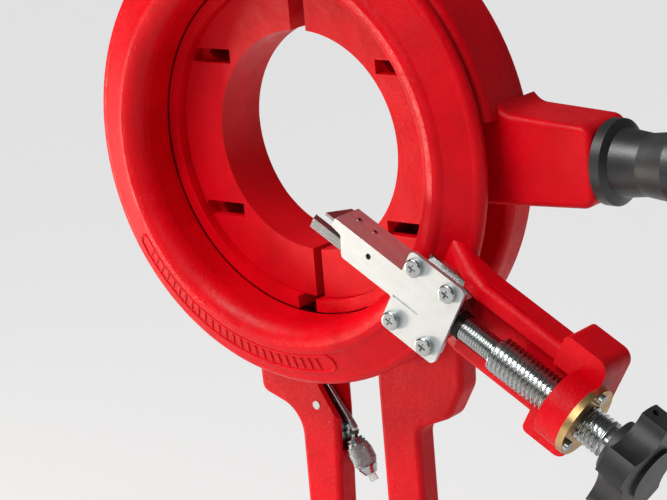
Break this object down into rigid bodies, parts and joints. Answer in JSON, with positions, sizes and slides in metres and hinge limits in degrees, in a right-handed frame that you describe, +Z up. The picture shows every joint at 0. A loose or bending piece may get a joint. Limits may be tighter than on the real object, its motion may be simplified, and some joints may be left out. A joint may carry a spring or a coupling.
{
  "type": "pipe cutter",
  "caption": "Orbital pipe cutter: clamp levers grip the pipe while a rotor swings a screw-fed parting blade and chamfer knife round it inside a drum with a side handle.",
  "frame": {"origin": "on the pipe's axis at the front face of the clamping inserts", "axes": "+Y along the pipe from the cutting side to the back, +Z up along the split between the levers (their handles hang towards -Z), +X to the right seen from the front"},
  "size_m": [0.407, 0.1084, 0.4666],
  "materials": {
    "red_casting": "gloss enamel over a sand-cast surface",
    "red_insert": "semi-gloss enamel on a casting",
    "black_steel": "blackened steel",
    "zinc_steel": "bright zinc plate",
    "turned_steel": "turned steel",
    "holder_sheet": "satin nickel-plated sheet",
    "tool_steel": "ground tool steel",
    "chrome_wire": "bright chrome",
    "bronze": "machined bronze",
    "black_grip": "dipped soft plastic",
    "black_plastic": "moulded plastic",
    "clear_plastic": "translucent plastic"
  },
  "bodies": {
    "drum": {"guide_drum": "red_casting", "guide_bush": "black_plastic", "rear_cover": "red_casting", "cover_screws": "black_steel", "hinge_pin": "turned_steel", "hinge_washer": "zinc_steel", "hinge_clip": "black_steel", "lever_guide_screws": "black_steel", "side_handle_bar": "zinc_steel", "side_grip": "black_plastic"},
    "rotor": {"rotor": "red_casting", "rotor_retainer": "turned_steel", "retainer_screws": "black_steel", "feed_nut": "bronze", "feed_nut_screws": "zinc_steel"},
    "carriage": {"carriage": "zinc_steel", "blade_holder": "holder_sheet", "holder_screws": "zinc_steel", "tool_block": "turned_steel", "cutting_blade": "tool_steel", "chamfer_knife": "tool_steel", "knife_rivets": "chrome_wire", "blade_screw": "black_steel"},
    "spindle": {"feed_spindle": "zinc_steel", "end_collar": "turned_steel", "lock_nut": "black_steel", "feed_knob": "black_plastic", "knob_pin": "turned_steel"},
    "right_lever": {"right_lever": "red_casting", "right_insert": "red_insert", "right_insert_screws": "black_steel", "right_handle_grip": "black_grip"},
    "left_lever": {"left_lever": "red_casting", "left_insert": "red_insert", "left_insert_screws": "black_steel", "left_handle_grip": "black_grip", "prop_pin": "zinc_steel", "rod_stop": "zinc_steel"},
    "prop": {"prop_rod": "chrome_wire", "rod_collar": "black_plastic", "prop_tip": "clear_plastic"},
    "prop_sleeve": {"prop_sleeve": "chrome_wire"}
  },
  "joints": [
    {"name": "rotor_spin", "type": "hinge", "parent": "drum", "child": "rotor", "pos_m": [0, 0, 0], "axis": [0, 1, 0], "continuous": true},
    {"name": "carriage_feed", "type": "slide", "parent": "rotor", "child": "carriage", "axis": [0.866, 0, -0.5], "range_m": [0, 0.016]},
    {"name": "spindle_turn", "type": "hinge", "parent": "carriage", "child": "spindle", "pos_m": [0.17321, -0.042, -0.1], "axis": [0.866, 0, -0.5], "range_deg": [0, 2305]},
    {"name": "right_lever_open", "type": "hinge", "parent": "drum", "child": "right_lever", "pos_m": [0, 0.028, 0.098], "axis": [0, -1, 0], "range_deg": [0, 2.5]},
    {"name": "left_lever_open", "type": "hinge", "parent": "drum", "child": "left_lever", "pos_m": [0, 0.028, 0.098], "axis": [0, 1, 0], "range_deg": [0, 2.5]},
    {"name": "prop_swing", "type": "hinge", "parent": "left_lever", "child": "prop", "pos_m": [-0.0265, 0.0295, -0.1472], "axis": [0, -1, 0], "range_deg": [0, 12]},
    {"name": "sleeve_turn", "type": "hinge", "parent": "prop", "child": "prop_sleeve", "pos_m": [-0.0109, 0.0295, -0.1664], "axis": [0.4848, 0, -0.8746], "continuous": true}
  ],
  "couplings": [
    {"joint": "spindle_turn", "follows": "carriage_feed", "rad_per_m": 2513.3}
  ]
}
